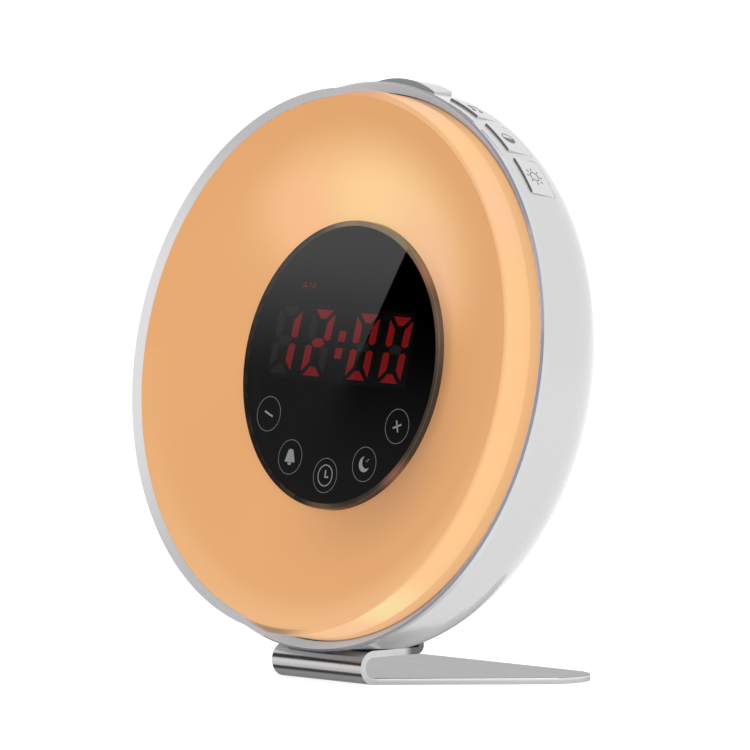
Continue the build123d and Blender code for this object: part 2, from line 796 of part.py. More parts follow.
def make_snooze_bar():
    """Raised bar on top: crowned across, flat from front to back, over a flange and a stem."""
    crown_centre = shell_radius + snooze_lift - snooze_crown_radius
    low = snooze_flange_top - snooze_flange_thickness / 2
    crown_length = snooze_front - snooze_rear + 2
    crown = Cylinder(snooze_crown_radius, crown_length, align=CENTRED)
    crown = Pos(0, crown_centre, snooze_rear - 1) * crown
    head = snooze_prism(0, low, shell_radius + snooze_lift + 1) & crown
    flange = Pos(0, snooze_flange_top - snooze_flange_thickness, snooze_rear - key_flange) * Box(
        2 * snooze_half_rear + 2 * key_flange,
        snooze_flange_thickness,
        snooze_front - snooze_rear + key_flange,
        align=(Align.CENTER, Align.MIN, Align.MIN),
    )
    stem_end = snooze_board_distance + switch_body + switch_button + snooze_travel + stop_gap
    stem_length = snooze_flange_top - snooze_flange_thickness / 2 - stem_end
    stem = radial(snooze_angle, stem_end) * (
        Pos(-(snooze_front + snooze_rear) / 2, 0, 0)
        * Cylinder(snooze_stem_radius, stem_length, align=CENTRED)
    )
    return head + flange + stem


def side_board(length, gap=0.0):
    """Small switch board in a radial frame, its outer face at 0, standing on the pan's ring plate."""
    return Pos(-frame_back, 0, gap) * Box(
        side_board_width, length, board_thickness + 2 * gap, align=(Align.MIN, Align.CENTER, Align.MAX)
    )


def switch():
    """Push switch in a radial frame, standing on a board's outer face."""
    body = Box(switch_size, switch_size, switch_body, align=CENTRED)
    body += Pos(0, 0, switch_body - 0.1) * Cylinder(switch_button_radius, switch_button + 0.1, align=CENTRED)
    return body


# ---- Rear pieces ---------------------------------------------------------------------------------
def make_speaker():
    """Basket with a rolled edge, cone and magnet, firing backwards through the grille."""
    y = speaker_y
    flange_front = inner_back + speaker_flange
    basket_front = inner_back + speaker_depth - magnet_height
    basket = ring(
        [
            (speaker_radius, inner_back),
            (speaker_radius, flange_front),
            (speaker_radius - speaker_seat, flange_front),
            (magnet_radius + 1, basket_front),
            (0, basket_front),
            (0, basket_front - 1),
            (magnet_radius, basket_front - 1),
            (speaker_radius - speaker_seat - 1.5, flange_front),
            (speaker_radius - speaker_seat - 1.5, inner_back),
        ]
    )
    cone = ring(
        [
            (speaker_radius - speaker_seat - 1.7, inner_back + 1.0),
            (speaker_radius - speaker_seat - 1.7, inner_back + 1.4),
            (5.0, basket_front - 1.6),
            (0, basket_front - 1.2),
            (0, basket_front - 1.8),
            (4.6, basket_front - 2.2),
        ]
    )
    magnet = disc(magnet_radius, basket_front, basket_front + magnet_height)
    magnet = fillet(magnet.edges().filter_by(GeomType.CIRCLE).sort_by(Axis.Z)[-1], 0.8)
    lift = Pos(0, y, 0)
    return lift * basket, lift * cone, lift * magnet


def make_power_jack():
    """Round low-voltage socket: square body inside, nozzle through the shell, bore round a centre pin."""
    body = slab(jack_body, jack_body, inner_back, inner_back + jack_length, jack_x, jack_y)
    body += disc(jack_nozzle_radius, back_plane + 0.2, inner_back + 1, jack_x, jack_y)
    body -= disc(jack_bore_radius, back_plane, back_plane + jack_bore_depth, jack_x, jack_y)
    pin_end = back_plane + jack_bore_depth
    pin = disc(jack_pin_radius, back_plane + 1.5, pin_end, jack_x, jack_y)
    return body, fillet(pin.edges().filter_by(GeomType.CIRCLE).sort_by(Axis.Z)[0], 0.5)


def cell_rows():
    pitch = 2 * cell_radius + cell_space
    return [(battery_y - pitch / 2, 1), (battery_y + pitch / 2, -1)]


def cell_axis():
    return inner_back + cell_radius + 0.1


def tray_half_length():
    return cell_length / 2 + contact_plate + 1.3


def make_battery_tray():
    """Open box inside the shell's battery opening."""
    half = tray_half_length()
    height = 4 * cell_radius + cell_space + 0.6
    depth = 2 * cell_radius + 0.4
    outer = slab(
        2 * half + 2 * tray_wall,
        height + 2 * tray_wall,
        inner_back,
        inner_back + depth + tray_wall,
        y=battery_y,
    )
    return outer - slab(2 * half, height, inner_back - 1, inner_back + depth, y=battery_y)


def make_cells():
    """Two small cells lying side by side, one turned round."""
    cells = []
    body = Cylinder(cell_radius, cell_length - cell_nub)
    body = fillet(body.edges().filter_by(GeomType.CIRCLE), 0.4)
    nub = Pos(0, 0, cell_length / 2 - cell_nub / 2) * Cylinder(cell_nub_radius, cell_nub, align=CENTRED)
    cell = Pos(0, 0, -cell_nub / 2) * (body + Pos(0, 0, -cell_nub / 2) * nub)
    for y, way in cell_rows():
        cells.append(Pos(0, y, cell_axis()) * (Rot(0, 90 * way, 0) * cell))
    return group(cells)


def make_contacts():
    """Sprung contact plate with a bump at each end of each cell."""
    plates = []
    reach = tray_half_length() - contact_plate - cell_length / 2 - 0.1
    for y, way in cell_rows():
        for side in (-1, 1):
            plate = Box(contact_size, contact_size, contact_plate, align=CENTRED)
            bump = Cylinder(contact_bump_radius, reach + 0.05, align=CENTRED)
            plate += Pos(0, 0, contact_plate - 0.05) * bump
            turned = Pos(side * tray_half_length(), y, cell_axis()) * (Rot(0, -90 * side, 0) * plate)
            plates.append(turned)
    return group(plates)


def make_battery_door():
    """Flush door with round corners, a finger dimple and grip ridges cut into its outer face."""
    low, high = back_plane, back_plane + door_thickness
    door = round_slab(door_width, door_height, door_corner - door_gap, low, high, y=battery_y)
    for i in range(5):
        groove = Pos(0, battery_y + 5 + 1.6 * i, low) * Box(14, 0.7, 0.8)
        door -= groove
    return door


def make_leads(points, shift):
    """Pair of round leads side by side, along straight runs joined by tangent arcs."""
    leads = []
    for side in (-1, 1):
        moved = [tuple(p + side * d for p, d in zip(point, shift)) for point in points]
        path = FilletPolyline(*moved, radius=lead_bend)
        start = Plane(origin=path @ 0, z_dir=path % 0)
        leads.append(sweep(start * Circle(lead_radius), path))
    return group(leads)


# ---- Assembly ------------------------------------------------------------------------------------
add("stand", make_stand(), in_face_frame=False)
add("stand_pad", make_stand_pad(), in_face_frame=False)
stand_screw_length = 3 + pad_thickness + sheet - 0.1
stand_screw = Rot(180, 0, 0) * screw(screw_shank, stand_screw_length, screw_head, screw_head_height)
add(
    "stand_screws",
    group(
        Pos(x, fold_y + stand_screw_back, shell_flat + 3) * stand_screw
        for x in (-stand_screw_offset, stand_screw_offset)
    ),
    in_face_frame=False,
)

add("rear_shell", make_rear_shell())
add("diffuser", make_diffuser())
add("crest_ring", make_crest_ring())
add("light_pan", make_light_pan())
add("display_window", make_window())
add("touch_board", make_touch_board())
add("touch_springs", make_touch_springs())
add("display_cup", make_display_cup())
add("digit_module", make_digit_module())
lit_segments, dark_segments = make_segments()
add("lit_segments", lit_segments)
add("dark_segments", dark_segments)

add("lamp_board", tube(lamp_board_outer, lamp_board_inner, pan_floor, lamp_board_front))
add("lamp_leds", group(make_leds(0, lamp_board_front, lamp_board_front + led_height)))
film = tube(lamp_board_outer, lamp_board_inner, lamp_board_front, lamp_board_front + film_thickness)
for window in make_leds(2 * film_gap, lamp_board_front - 1, lamp_board_front + 1):
    film -= window
add("reflector_film", film)

main_board = slab(main_board_width, main_board_height, board_back, board_front)
for x, y in standoff_places():
    main_board -= disc(small_shank + fit_gap, board_back, board_front, x, y)
add("main_board", main_board)
ribbon_end = board_front + connector_height
add("display_ribbon", slab(ribbon_width, ribbon_thickness, ribbon_end, module_back + 1, y=ribbon_y))
add("display_connector", slab(ribbon_width + 3, 4.5, board_front, ribbon_end, y=ribbon_y))
chips = [(11, 11, 1.6, -14, 16), (8, 6, 1.4, 22, 18), (6, 5, 1.4, 30, -12)]
add(
    "board_chips",
    group(slab(w, h, board_back - t, board_back, x, y) for w, h, t, x, y in chips),
)
cap_x = -main_board_width / 2 + 12
caps = [(cap_x, -10, 3.0, 5.0), (cap_x, -18, 3.0, 5.0), (cap_x, 14, 2.5, 4.5)]
add("capacitors", group(disc(r, board_back - t, board_back, x, y) for x, y, r, t in caps))
wire_sockets = [speaker_socket, battery_socket, jack_socket]
add(
    "wire_sockets",
    group(slab(5, 6, board_back - socket_height, board_back, x, y) for x, y in wire_sockets),
)
board_screw = screw(small_shank, main_board_thickness + 3.5, small_head, small_head_height)
add("board_screws", group(Pos(x, y, board_back) * board_screw for x, y in standoff_places()))

diffuser_screw = screw(small_shank, frame_plate + 4.5, small_head, small_head_height)
bosses = on_circle(diffuser_boss_circle, diffuser_boss_angles)
add("diffuser_screws", group(Pos(x, y, frame_back) * diffuser_screw for x, y in bosses))
shell_screw = screw(screw_shank, frame_back - post_seat + 1.0, screw_head, screw_head_height)
posts = on_circle(shell_post_circle, shell_post_angles)
add("shell_screws", group(Pos(x, y, post_seat) * shell_screw for x, y in posts))

for name, angle in key_angles.items():
    add(name, make_key(angle))
middle = key_angles["dimmer_key"]
add("key_board", radial(middle, key_board_distance) * side_board(key_board_length))
switches = []
for angle in key_angles.values():
    across = key_switch_reach * math.tan(math.radians(angle - middle))
    place = Pos(-key_front + key_length / 2, across, 0)
    switches.append(radial(middle, key_board_distance) * (place * switch()))
add("key_switches", group(switches))
add("snooze_bar", make_snooze_bar())
add("snooze_board", radial(snooze_angle, snooze_board_distance) * side_board(snooze_board_length))
snooze_place = Pos(-(snooze_front + snooze_rear) / 2, 0, 0)
add("snooze_switch", radial(snooze_angle, snooze_board_distance) * (snooze_place * switch()))

speaker_frame, speaker_cone, speaker_magnet = make_speaker()
add("speaker_frame", speaker_frame)
add("speaker_cone", speaker_cone)
add("speaker_magnet", speaker_magnet)
power_jack, jack_pin = make_power_jack()
add("power_jack", power_jack)
add("jack_pin", jack_pin)
socket_end = board_back - socket_height
half_pair = (0, lead_spacing, 0)
tag_x, tag_y = speaker_radius - 2.1, speaker_y - 5.5
speaker_tag = inner_back + speaker_flange
x, y = speaker_socket
route = [
    (x, y, socket_end),
    (x, y, socket_end - 4),
    (tag_x, tag_y, speaker_tag + 4),
    (tag_x, tag_y, speaker_tag),
]
add("speaker_leads", make_leads(route, half_pair))
x, y = battery_socket
tray_side = tray_half_length() + tray_wall
route = [(x, y, socket_end), (x, y, cell_axis()), (tray_side, y, cell_axis())]
add("battery_leads", make_leads(route, half_pair))
x, y = jack_socket
jack_middle = inner_back + jack_length / 2
route = [(x, y, socket_end), (x, y, jack_middle), (x, jack_y + jack_body / 2, jack_middle)]
add("jack_leads", make_leads(route, (lead_spacing, 0, 0)))
add("battery_tray", make_battery_tray())
add("battery_cells", make_cells())
add("battery_contacts", make_contacts())
add("battery_door", make_battery_door())

os.makedirs("parts", exist_ok=True)
for name, shape in nodes.items():
    export_step(shape, os.path.join("parts", name + ".step"))
    print(name, len(shape.solids()), round(sum(s.volume for s in shape.solids())))
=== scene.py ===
import math

import bmesh
import bpy
import numpy as np
from mathutils import Matrix, Vector


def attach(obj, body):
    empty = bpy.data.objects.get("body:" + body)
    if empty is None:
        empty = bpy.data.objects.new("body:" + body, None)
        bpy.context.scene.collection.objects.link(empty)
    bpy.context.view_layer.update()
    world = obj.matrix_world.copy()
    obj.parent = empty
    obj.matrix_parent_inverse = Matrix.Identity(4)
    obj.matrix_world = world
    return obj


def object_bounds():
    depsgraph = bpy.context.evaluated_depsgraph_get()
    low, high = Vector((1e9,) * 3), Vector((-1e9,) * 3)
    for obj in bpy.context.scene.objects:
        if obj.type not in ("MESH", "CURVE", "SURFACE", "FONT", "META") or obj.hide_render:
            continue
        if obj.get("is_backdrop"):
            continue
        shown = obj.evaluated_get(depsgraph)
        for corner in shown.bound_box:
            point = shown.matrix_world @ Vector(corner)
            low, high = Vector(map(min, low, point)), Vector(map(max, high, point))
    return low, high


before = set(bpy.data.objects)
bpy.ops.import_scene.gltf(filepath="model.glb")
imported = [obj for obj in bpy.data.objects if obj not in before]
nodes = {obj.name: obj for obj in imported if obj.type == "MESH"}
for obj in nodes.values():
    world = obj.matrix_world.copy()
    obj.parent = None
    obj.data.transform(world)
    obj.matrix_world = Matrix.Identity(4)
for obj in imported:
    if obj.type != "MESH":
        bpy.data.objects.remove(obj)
cad_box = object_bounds()

# Measures are in millimetres and degrees, except where a comment says metres. The face frame runs across to
# the right, up the face and forward out of it, and 0 forward is where the diffuser meets the shell's rim.
# Angles round the face start at its right and run upwards.

# ---- The clock's own measures --------------------------------------------------------------------
LEAN = math.radians(10.6)
FACE_CENTRE = (0.0, -21.082, 93.0)
WINDOW_RADIUS = 43.3
WINDOW_FACE = 5.4            # how far forward the window's front lies
WINDOW_RIM = 1.6             # width of its light-gathering rim
CLEAR_MIDDLE = (-1.4, 5.9)   # clear zone of the window, in front of the digits
CLEAR_HALF = (31.1, 11.4)    # half its width and half its height
TOUCH_RADIUS = 33.3
TOUCH_ANGLES = (-150, -120, -90, -60, -30)
AM_PLACE = (-18.84, 21.38)
KEY_ANGLES = {"sound_key": 70.45, "dimmer_key": 58.25, "light_key": 46.5}
KEY_FRONT = -3.8             # forward place of a key's front wall
KEY_FLUSH = -10.9            # forward place where its top runs into the shell
KEY_LIFT = 0.65              # how far its front edge stands out of the shell
KEY_MARK = -8.3              # forward place of the middle of its mark
SNOOZE_FRONT = -3.0
SHELL_RADIUS = 85.0
RIM_FRONT = 2.2              # forward place of the rim's outer edge
RIM_RIDGE = 84.9             # radius of the rim's ridge
DISH_EDGE = 80.05            # radius where the dish's side ends and the outer wall's begins
CREST_RADIUS = 81.0          # outside of the ring on the crest
PRINT = 0.06                 # thickness of a printed mark
WINDOW_PRINT_GAP = 0.01      # from the window to a mark's underside
KEY_PRINT_GAP = 0.015        # from a key to its mark's underside
LIT_SHARE = 0.72             # share of a lit part's colour that it sends out itself

# ---- Camera and stage, in metres -----------------------------------------------------------------
VIEW_TURN, VIEW_LIFT = math.radians(48.5), math.radians(4.9)
CAMERA_DISTANCE = 8.0
VIEW_WIDTH = 0.2232          # what the view's width covers at the clock
AIM_SHIFT = (0.00625, -0.00238)  # the view's middle from the face's centre: right and up
LAMP_AIM = (0.0, -0.02, 0.09)
FLOOR_REACH = 6.0


# ---- Node trees ----------------------------------------------------------------------------------
class Tree:
    """Short calls to add nodes to one material or one node group."""

    def __init__(self, tree):
        self.tree = tree

    def node(self, kind, **settings):
        made = self.tree.nodes.new(kind)
        for name, value in settings.items():
            setattr(made, name, value)
        return made

    def put(self, socket, value):
        """Link another node's output, or set a plain value."""
        if isinstance(value, bpy.types.NodeSocket):
            self.tree.links.new(value, socket)
        elif isinstance(value, tuple) and len(value) == 3 and len(socket.default_value) == 4:
            socket.default_value = (*value, 1.0)
        else:
            socket.default_value = value

    def math(self, operation, *values):
        made = self.node("ShaderNodeMath", operation=operation)
        for socket, value in zip(made.inputs, values):
            self.put(socket, value)
        return made.outputs[0]

    def times(self, first, second):
        return self.math("MULTIPLY", first, second)

    def less(self, first, second):
        return self.math("SUBTRACT", first, second)

    def highest(self, first, *others):
        for other in others:
            first = self.math("MAXIMUM", first, other)
        return first

    def step(self, value, low, high):
        """0 below low, 1 above high, smooth between. With low above high it falls instead."""
        made = self.node("ShaderNodeMapRange", interpolation_type="SMOOTHSTEP")
        falls = low > high
        numbers = (value, high, low, 1.0, 0.0) if falls else (value, low, high, 0.0, 1.0)
        for socket, number in zip(made.inputs, numbers):
            self.put(socket, number)
        return made.outputs[0]

    def lobe(self, value, centre, width, flat=0.0):
        """1 up to flat to either side of the centre, falling smoothly to 0 at width."""
        return self.step(self.math("ABSOLUTE", self.less(value, centre)), width, flat)

    def mix(self, amount, first, second):
        """A colour from first at 0 to second at 1."""
        made = self.node("ShaderNodeMix", data_type="RGBA")
        self.put(made.inputs[0], amount)
        self.put(made.inputs[6], first)
        self.put(made.inputs[7], second)
        return made.outputs[2]

    def noise(self, vector, scale, detail):
        made = self.node("ShaderNodeTexNoise")
        self.put(made.inputs["Vector"], vector)
        self.put(made.inputs["Scale"], scale)
        self.put(made.inputs["Detail"], detail)
        return made.outputs[0]

    def place(self, scale=(1, 1, 1), turn=(0, 0, 0), shift=(0, 0, 0)):
        """Object coordinates in metres, scaled, then turned, then shifted."""
        made = self.node("ShaderNodeMapping")
        self.put(made.inputs["Vector"], self.node("ShaderNodeTexCoord").outputs["Object"])
        self.put(made.inputs["Scale"], scale)
        self.put(made.inputs["Rotation"], turn)
        self.put(made.inputs["Location"], shift)
        return made.outputs[0]

    def parts(self, vector):
        """The three numbers of a vector."""
        made = self.node("ShaderNodeSeparateXYZ")
        self.put(made.inputs[0], vector)
        return made.outputs

    def use(self, group, **values):
        made = self.node("ShaderNodeGroup", node_tree=group)
        for name, value in values.items():
            self.put(made.inputs[name.replace("_", " ")], value)
        return made.outputs


def new_group(name, inputs, outputs):
    """An empty node group with named numbers in and out: the group, its Tree and its two ends' sockets."""
    group = bpy.data.node_groups.new(name, "ShaderNodeTree")
    for label, value in inputs:
        socket = group.interface.new_socket(label, in_out="INPUT", socket_type="NodeSocketFloat")
        socket.default_value = value
    for label in outputs:
        group.interface.new_socket(label, in_out="OUTPUT", socket_type="NodeSocketFloat")
    tree = Tree(group)
    return group, tree, tree.node("NodeGroupInput").outputs, tree.node("NodeGroupOutput").inputs


def make_face_place():
    """Where a point is in the face frame: across, up and forward in millimetres, radius and angle."""
    labels = ("Across", "Up", "Forward", "Radius", "Angle")
    group, t, _, out = new_group("face_place", (), labels)
    _, y, z = FACE_CENTRE
    sin, cos = math.sin(LEAN), math.cos(LEAN)
    shift = (0.0, -(sin * y + cos * z), cos * y - sin * z)
    across, up, forward = t.parts(t.place((1000, 1000, 1000), (LEAN - math.pi / 2, 0, 0), shift))
    radius = t.math("SQRT", t.math("ADD", t.times(across, across), t.times(up, up)))
    angle = t.math("DEGREES", t.math("ARCTAN2", up, across))
    for socket, value in zip(out, (across, up, forward, radius, angle)):
        t.put(socket, value)
    return group


def make_moulded_grain():
    """Fine texture of moulded plastic: a height, and slow patches for roughness and shade."""
    inputs = (("Scale", 900.0), ("Patch Scale", 40.0))
    group, t, given, out = new_group("moulded_grain", inputs, ("Height", "Patches"))
    here = t.place()
    t.put(out["Height"], t.noise(here, given["Scale"], 3.0))
    t.put(out["Patches"], t.noise(here, given["Patch Scale"], 2.0))
    return group


def make_brushed_lines():
    """Long fine scratches along X, as on brushed sheet metal: a height and a roughness pattern."""
    group, t, given, out = new_group("brushed_lines", (("Fineness", 5000.0),), ("Height", "Streaks"))
    stretched = t.place((0.012, 1, 1))
    t.put(out["Height"], t.noise(stretched, given["Fineness"], 2.0))
    t.put(out["Streaks"], t.noise(stretched, t.times(given["Fineness"], 0.22), 3.0))
    return group


FACE_PLACE = make_face_place()
MOULDED_GRAIN = make_moulded_grain()
BRUSHED_LINES = make_brushed_lines()
BLACK = (0.0, 0.0, 0.0)


def linear(red, green, blue):
    """A display colour of 0 to 255 as the shader's linear colour."""
    levels = np.array((red, green, blue)) / 255.0
    curve = ((levels + 0.055) / 1.055) ** 2.4
    return tuple(float(v) for v in np.where(levels <= 0.04045, levels / 12.92, curve))


def shaded(colour, share):
    return tuple(share * c for c in colour)


def new_finish(name):
    """A material with its Principled shader and its Tree."""
    finish = bpy.data.materials.new(name)
    finish.use_nodes = True
    shader = finish.node_tree.nodes["Principled BSDF"]
    return finish, shader, Tree(finish.node_tree)


def set_shader(tree, shader, **values):
    """Set or link the shader's inputs, written with _ for a space."""
    for name, value in values.items():
        tree.put(shader.inputs[name.replace("_", " ")], value)


def set_specular(shader, level):
    shader.inputs["Specular IOR Level"].default_value = level


def add_bump(tree, shader, height, strength, depth=0.00001):
    """Fine relief; depth in metres."""
    bump = tree.node("ShaderNodeBump")
    tree.put(bump.inputs["Strength"], strength)
    tree.put(bump.inputs["Distance"], depth)
    tree.put(bump.inputs["Height"], height)
    tree.put(shader.inputs["Normal"], bump.outputs[0])


def ranged(tree, value, low, high):
    """A noise pattern, most of which lies between 0.25 and 0.75, spread over a range."""
    made = tree.node("ShaderNodeMapRange")
    for socket, number in zip(made.inputs, (value, 0.25, 0.75, low, high)):
        tree.put(socket, number)
    return made.outputs[0]


def plastic(name, colour, roughness, grain=900.0, depth=0.00003, shade=0.05, coat=0.0):
    """Moulded plastic: fine grain, slow patches in its roughness, and a slight change of shade."""
    finish, shader, t = new_finish(name)
    grains = t.use(MOULDED_GRAIN, Scale=grain)
    set_shader(
        t,
        shader,
        Base_Color=t.mix(grains["Patches"], shaded(colour, 1 - shade), colour),
        Roughness=ranged(t, grains["Patches"], roughness * 0.9, roughness * 1.1),
        Coat_Weight=coat,
    )
    add_bump(t, shader, grains["Height"], 0.35, depth)
    return finish


def metal(name, colour, roughness):
    """Metal with fine drawn lines in its height, roughness and shade."""
    finish, shader, t = new_finish(name)
    lines = t.use(BRUSHED_LINES, Fineness=5000.0)
    set_shader(
        t,
        shader,
        Base_Color=t.mix(ranged(t, lines["Streaks"], 0.0, 1.0), shaded(colour, 0.88), colour),
        Roughness=ranged(t, lines["Streaks"], roughness * 0.85, roughness * 1.15),
        Metallic=1.0,
    )
    add_bump(t, shader, lines["Height"], 0.3, 0.00002)
    return finish


# ---- Housing finishes ----------------------------------------------------------------------------
def shell_finish():
    """Glossy white shell. The rim's chamfer has a painted violet shade; its inner slope is pale, with faint
    painted grey light on it, and a painted dark shade at its foot."""
    finish, shader, t = new_finish("glossy_white_shell")
    where = t.use(FACE_PLACE)
    radius, forward = where["Radius"], where["Forward"]
    grains = t.use(MOULDED_GRAIN, Scale=700.0, Patch_Scale=25.0)
    white = t.mix(grains["Patches"], (0.665, 0.67, 0.675), (0.70, 0.70, 0.70))
    inside = t.step(radius, RIM_RIDGE + 0.06, RIM_RIDGE - 0.06)
    outside = t.step(radius, RIM_RIDGE - 0.06, RIM_RIDGE + 0.06)
    slope = t.times(t.step(forward, 0.02, 0.08), inside)
    # Painted violet shade on the rim's chamfer.
    chamfer_shade = t.times(t.step(forward, RIM_FRONT - 0.05, RIM_FRONT + 0.05), outside)
    # Painted dark shade at the foot of the inner slope.
    foot = t.step(forward, 0.3, 0.1)
    colour = t.mix(slope, white, t.mix(foot, (0.66, 0.67, 0.70), (0.16, 0.12, 0.10)))
    # Painted faint grey light on the inner slope above its foot, sent out as emission.
    painted_glow = t.times(slope, t.less(1.0, foot))
    set_shader(
        t,
        shader,
        Base_Color=t.mix(chamfer_shade, colour, (0.25, 0.24, 0.31)),
        Emission_Color=t.mix(painted_glow, BLACK, (0.25, 0.285, 0.32)),
        Emission_Strength=1.0,
        Roughness=ranged(t, grains["Patches"], 0.20, 0.26),
        Coat_Weight=0.9,
        Coat_Roughness=0.05,
    )
    add_bump(t, shader, grains["Height"], 0.15)
    return finish


def glow_strength(tree):
    """Emission as the camera sees it, less in reflections, and little as light on other parts."""
    rays = tree.node("ShaderNodeLightPath").outputs
    seen = tree.highest(
        rays["Is Camera Ray"], rays["Is Transmission Ray"], tree.times(rays["Is Glossy Ray"], 0.4), 0.2
    )
    return tree.times(seen, LIT_SHARE)


def dish_colour(t, radius, angle, low_left):
    """Deep orange, with patches of painted light and shade laid over it in turn: each is full at its angle
    and fades out at its width, and it fades in from the first radius to the second."""
    colour = t.mix(low_left, linear(224, 162, 102), linear(232, 169, 111))
    patches = (
        (86.0, 78.0, 76.0, 53.0, 1.0, (255, 210, 150)),     # painted warm pool of light above the window
        (44.0, 42.0, 64.0, 46.0, 0.6, (250, 196, 160)),     # painted pinkish light, at its upper right
        (122.0, 24.0, 74.0, 54.0, 0.75, (255, 190, 143)),   # painted pinkish light, at its upper left
        (-48.0, 74.0, 66.0, 43.0, 1.0, (196, 142, 96)),     # shade at its lower right
        (0.0, 60.0, 50.0, 44.0, 0.5, (160, 118, 82)),       # painted shadow beside it
        (-90.0, 120.0, 68.0, 80.0, 0.9, (240, 186, 130)),   # painted light, paler towards the crest below
    )
    for centre, width, start, full, amount, tone in patches:
        patch = t.times(t.lobe(angle, centre, width), t.step(radius, start, full))
        colour = t.mix(t.times(patch, amount), colour, linear(*tone))
    return colour


def wall_colour(t, angle, forward):
    """Paler than the dish, with a painted darker shade on its lower band, a warm painted highlight low on
    its right, pink places, and painted shade at its ends and foot.
    """
    colour = t.mix(t.step(forward, 13.2, 14.8), linear(254, 201, 142), linear(246, 188, 132))
    # Painted warm highlight low on the right.
    colour = t.mix(t.lobe(angle, -60.0, 13.0), colour, linear(250, 222, 160))
    pink = t.highest(t.lobe(angle, 38.0, 16.0), t.lobe(angle, 72.0, 12.0), t.lobe(angle, -73.0, 8.0))
    colour = t.mix(t.times(pink, 0.7), colour, linear(254, 198, 158))
    # Painted darker shade on the lower band, by the rim.
    low_band_shade = t.step(forward, 4.9, 4.3)
    colour = t.mix(low_band_shade, colour, linear(243, 187, 131))
    # Painted shade at the top and bottom ends of the wall.
    top_end = t.lobe(t.math("MULTIPLY_ADD", low_band_shade, 13.0, angle), 94.0, 24.0)
    ends = t.highest(top_end, t.lobe(angle, -95.0, 17.0))
    colour = t.mix(t.times(ends, 0.75), colour, linear(150, 118, 92))
    # Painted shade at the wall's foot, by the rim.
    return t.mix(t.times(t.step(forward, 0.6, 0.0), 0.7), colour, linear(150, 120, 110))


def glow_finish():
    """Lit diffuser: deep orange dish and paler outer wall."""
    finish, shader, t = new_finish("lit_diffuser")
    where = t.use(FACE_PLACE)
    radius, angle = where["Radius"], where["Angle"]
    grains = t.use(MOULDED_GRAIN, Scale=1200.0, Patch_Scale=14.0)
    low_left = t.highest(t.lobe(t.math("ABSOLUTE", angle), 180.0, 130.0), t.lobe(angle, -120.0, 100.0))
    dish = dish_colour(t, radius, angle, low_left)
    wall = wall_colour(t, angle, where["Forward"])
    glow = t.mix(t.step(radius, DISH_EDGE - 0.15, DISH_EDGE + 0.15), dish, wall)
    glow = t.mix(t.times(grains["Patches"], 0.06), glow, linear(255, 196, 140))
    set_shader(
        t,
        shader,
        Base_Color=t.mix(LIT_SHARE, glow, BLACK),
        Emission_Color=glow,
        Emission_Strength=glow_strength(t),
        Roughness=ranged(t, grains["Patches"], 0.42, 0.5),
    )
    set_specular(shader, 0.25)
    add_bump(t, shader, grains["Height"], 0.1)
    return finish


def crest_finish():
    """Clear ring on the crest: it shows a painted glow on the clock's right and white on its left. The ends
    of the glow move by some degrees for each millimetre inwards, so it reaches further round on the ring's
    inner side. The white greys with painted shade away from the far left, the glow is painted darker near
    the top, and it fades to a brown painted shade at the bottom."""
    finish, shader, t = new_finish("clear_crest")
    where = t.use(FACE_PLACE)
    radius, angle = where["Radius"], where["Angle"]
    grains = t.use(MOULDED_GRAIN, Scale=900.0)
    inward = t.less(CREST_RADIUS, radius)
    top_end = t.step(t.math("MULTIPLY_ADD", inward, -6.7, angle), 93.0, 87.0)
    low_end = t.step(t.math("MULTIPLY_ADD", inward, 5.0, angle), -101.5, -95.5)
    # Where the ring shows its painted glow.
    painted_glow = t.times(top_end, low_end)
    # Painted shade: the white greys away from the far left.
    left = t.step(t.math("ABSOLUTE", angle), 118.0, 168.0)
    white = t.mix(left, linear(200, 200, 203), linear(237, 237, 240))
    # Painted shade: the glow is darker near the top.
    glow = t.mix(t.step(angle, 76.0, 88.0), linear(241, 185, 130), linear(229, 168, 126))
    # Painted brown shade on the ring's lower side.
    bottom_shade = t.times(t.step(angle, -80.0, -91.0), t.step(radius, 79.9, 80.8))
    glow = t.mix(bottom_shade, glow, linear(165, 130, 94))
    set_shader(
        t,
        shader,
        Base_Color=t.mix(painted_glow, white, t.mix(LIT_SHARE, glow, BLACK)),
        Emission_Color=t.mix(painted_glow, BLACK, glow),
        Emission_Strength=glow_strength(t),
        Roughness=ranged(t, grains["Patches"], 0.25, 0.32),
    )
    set_specular(shader, 0.2)
    add_bump(t, shader, grains["Height"], 0.1)
    return finish


